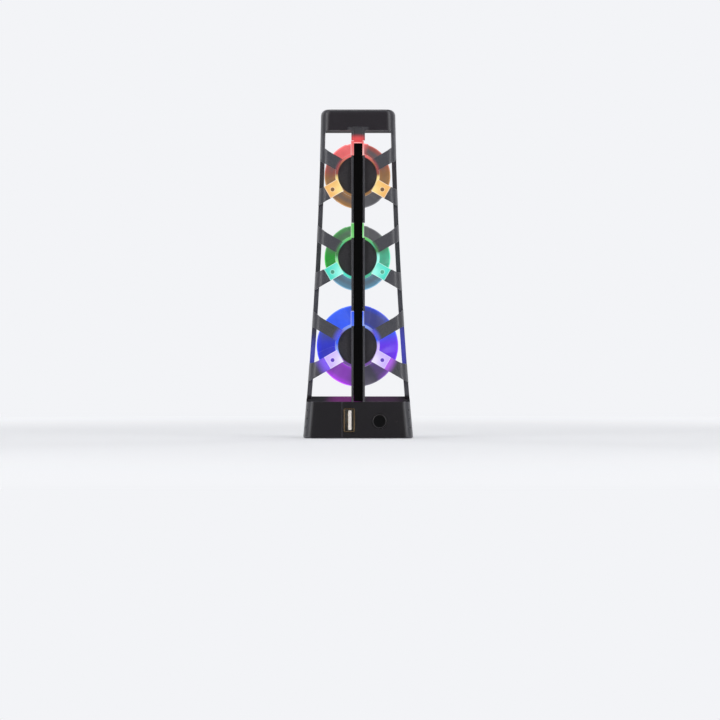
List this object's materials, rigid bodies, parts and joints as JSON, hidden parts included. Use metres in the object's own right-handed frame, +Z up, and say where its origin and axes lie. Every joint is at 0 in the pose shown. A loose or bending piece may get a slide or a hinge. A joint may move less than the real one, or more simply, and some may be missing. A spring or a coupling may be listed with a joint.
{
  "type": "console cooling fan",
  "caption": "Tall tapered rear cooling fan unit for an upright console: open black frame, lit clear fans on angled arms, control box with pass-through socket and push button.",
  "frame": {"origin": "centreline of the unit, in the plane that seats on the console, at the height of the plug's axis", "axes": "+X to the right as seen from behind, +Y into the console along the plug, +Z up along the unit"},
  "size_m": [0.0616, 0.0402, 0.1843],
  "materials": {
    "black_housing": "fine matte texture",
    "dark_strip": "smooth dark",
    "gloss_black": "polished",
    "dark_screw_steel": "dark zinc",
    "circuit_board": "solder mask",
    "black_component": "moulded",
    "cream_plastic": "moulded",
    "light_pipe": "clear, unlit",
    "nickel_shell": "satin nickel",
    "gold_contact": "gold flash",
    "white_tongue": "moulded",
    "wire_insulation": "smooth",
    "clear_base": "clear, lit from inside",
    "clear_blades": "smoky clear",
    "dark_label": "bare fine-grained disc",
    "motor_steel": "bright",
    "copper_wire": "enamelled copper",
    "bronze_bearing": "sintered",
    "ferrite": "bonded ferrite",
    "top_led": "lit diode",
    "middle_led": "lit diode",
    "bottom_led": "lit diode"
  },
  "bodies": {
    "housing": {"rear_housing": "black_housing", "control_box_cover": "black_housing", "top_cover": "black_housing", "wire_cover_strip": "dark_strip", "cover_screws": "dark_screw_steel", "fan_screws": "dark_screw_steel", "main_board": "circuit_board", "board_components": "black_component", "lead_sockets": "cream_plastic", "status_light": "light_pipe", "switch_body": "black_component", "usb_plug_shell": "nickel_shell", "usb_plug_insulator": "black_component", "usb_plug_contacts": "gold_contact", "usb_port_shell": "nickel_shell", "usb_port_tongue": "white_tongue", "usb_port_contacts": "gold_contact", "top_fan_lead": "wire_insulation", "middle_fan_lead": "wire_insulation", "bottom_fan_lead": "wire_insulation", "top_fan_base": "clear_base", "middle_fan_base": "clear_base", "bottom_fan_base": "clear_base", "top_fan_label": "dark_label", "middle_fan_label": "dark_label", "bottom_fan_label": "dark_label", "top_fan_board": "circuit_board", "middle_fan_board": "circuit_board", "bottom_fan_board": "circuit_board", "top_fan_leds": "top_led", "middle_fan_leds": "middle_led", "bottom_fan_leds": "bottom_led", "top_fan_stator_core": "motor_steel", "middle_fan_stator_core": "motor_steel", "bottom_fan_stator_core": "motor_steel", "top_fan_coils": "copper_wire", "middle_fan_coils": "copper_wire", "bottom_fan_coils": "copper_wire", "top_fan_bearing": "bronze_bearing", "middle_fan_bearing": "bronze_bearing", "bottom_fan_bearing": "bronze_bearing"},
    "top_rotor": {"top_fan_impeller": "clear_blades", "top_fan_shaft": "motor_steel", "top_fan_rotor_cup": "motor_steel", "top_fan_magnet": "ferrite", "top_fan_retaining_ring": "dark_screw_steel"},
    "middle_rotor": {"middle_fan_impeller": "clear_blades", "middle_fan_shaft": "motor_steel", "middle_fan_rotor_cup": "motor_steel", "middle_fan_magnet": "ferrite", "middle_fan_retaining_ring": "dark_screw_steel"},
    "bottom_rotor": {"bottom_fan_impeller": "clear_blades", "bottom_fan_shaft": "motor_steel", "bottom_fan_rotor_cup": "motor_steel", "bottom_fan_magnet": "ferrite", "bottom_fan_retaining_ring": "dark_screw_steel"},
    "button": {"power_button": "gloss_black"},
    "plunger": {"switch_plunger": "cream_plastic"}
  },
  "joints": [
    {"name": "top_fan_spin", "type": "hinge", "parent": "housing", "child": "top_rotor", "pos_m": [-0.0004, -0.02, 0.1377], "axis": [0, 1, 0], "continuous": true},
    {"name": "middle_fan_spin", "type": "hinge", "parent": "housing", "child": "middle_rotor", "pos_m": [-0.0004, -0.02, 0.0915], "axis": [0, 1, 0], "continuous": true},
    {"name": "bottom_fan_spin", "type": "hinge", "parent": "housing", "child": "bottom_rotor", "pos_m": [-0.0004, -0.02, 0.0421], "axis": [0, 1, 0], "continuous": true},
    {"name": "button_press", "type": "slide", "parent": "housing", "child": "button", "axis": [0, 1, 0], "range_m": [0, 0.0005], "stiffness_N_per_m": 600, "springref_m": -0.001},
    {"name": "plunger_press", "type": "slide", "parent": "housing", "child": "plunger", "axis": [0, 1, 0], "range_m": [0, 0.0005], "stiffness_N_per_m": 400, "springref_m": -0.001}
  ],
  "couplings": [
    {"joint": "plunger_press", "follows": "button_press", "ratio": 1}
  ]
}
